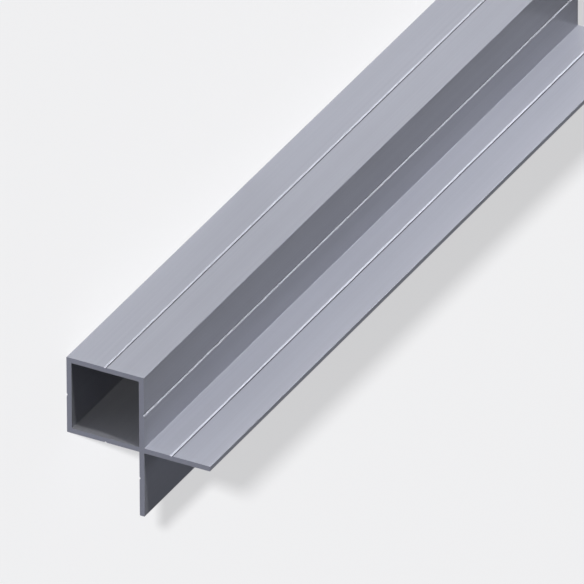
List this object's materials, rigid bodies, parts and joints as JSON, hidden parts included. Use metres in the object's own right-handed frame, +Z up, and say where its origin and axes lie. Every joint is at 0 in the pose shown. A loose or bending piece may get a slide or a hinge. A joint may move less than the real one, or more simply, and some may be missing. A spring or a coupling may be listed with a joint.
{
  "type": "aluminium extrusion profile",
  "caption": "Square aluminium tube profile with flat fins that carry on its walls and shallow centring grooves, a cut bar for frames that hold panels.",
  "frame": {"origin": "on the floor under the middle of the bar's box", "axes": "+Y along the bar, +Z up with the bar lying on one face of its tube, +X towards the free edge of the side fin"},
  "size_m": [0.0434, 0.25, 0.0435],
  "materials": {
    "anodised_aluminium": "satin natural anodised, with sawn ends"
  },
  "bodies": {
    "root": {"extruded_profile": "anodised_aluminium"}
  },
  "joints": []
}
